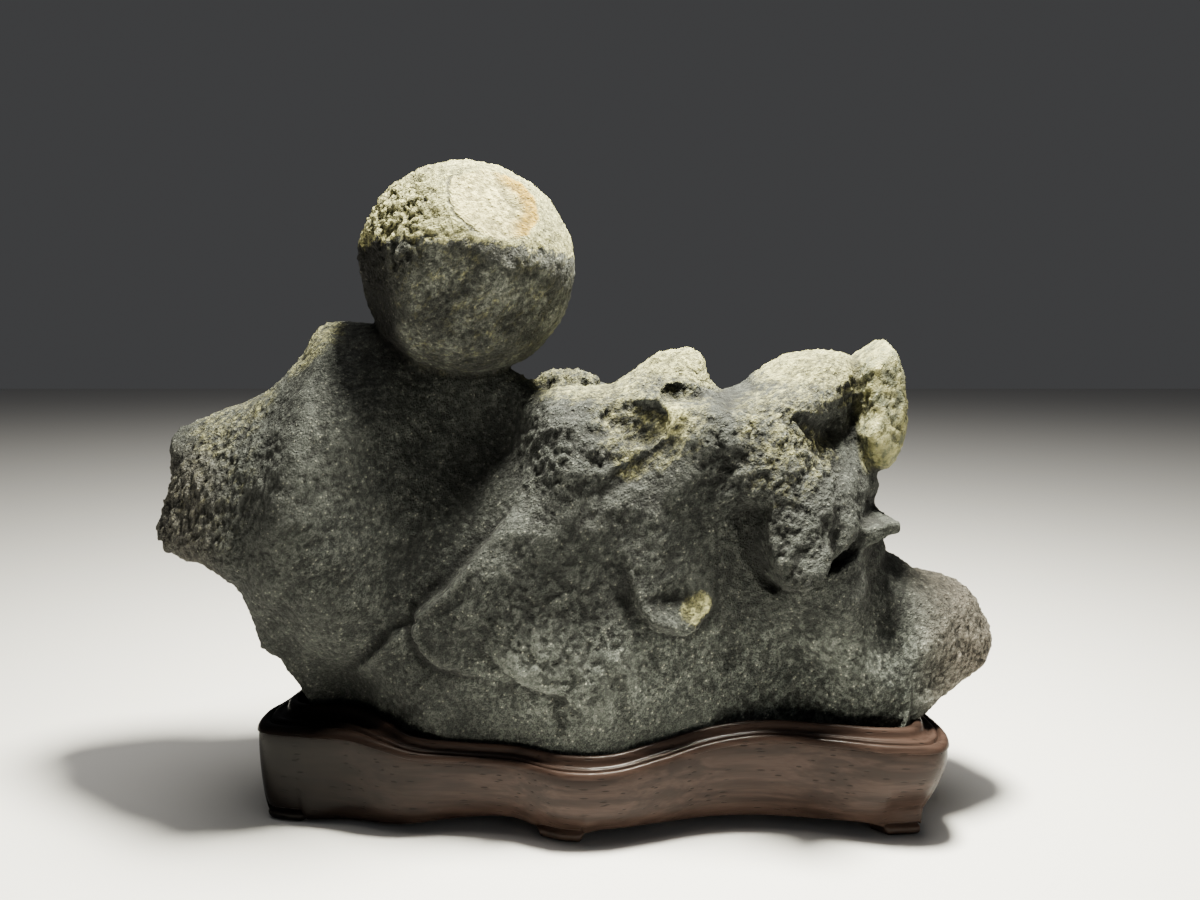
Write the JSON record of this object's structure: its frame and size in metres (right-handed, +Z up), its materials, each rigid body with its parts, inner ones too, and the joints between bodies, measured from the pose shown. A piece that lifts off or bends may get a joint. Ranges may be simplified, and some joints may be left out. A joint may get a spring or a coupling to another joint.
{
  "type": "scholars rock",
  "caption": "Grey sandstone viewing stone, a wave-shaped slab with a round concretion on its crest, standing in a carved dark wooden stand.",
  "frame": {"origin": "on the surface that the stand's feet rest on, under the middle of the whole object's box", "axes": "+X to the right seen from the front, +Y away from the viewer, +Z up"},
  "size_m": [0.3396, 0.1286, 0.2564],
  "materials": {
    "sandstone": "matt, rough natural surface, buff on the ball and the disc",
    "rosewood": "satin polish, dark with fine pores"
  },
  "bodies": {
    "root": {"rock": "sandstone", "stand": "rosewood"}
  },
  "joints": []
}
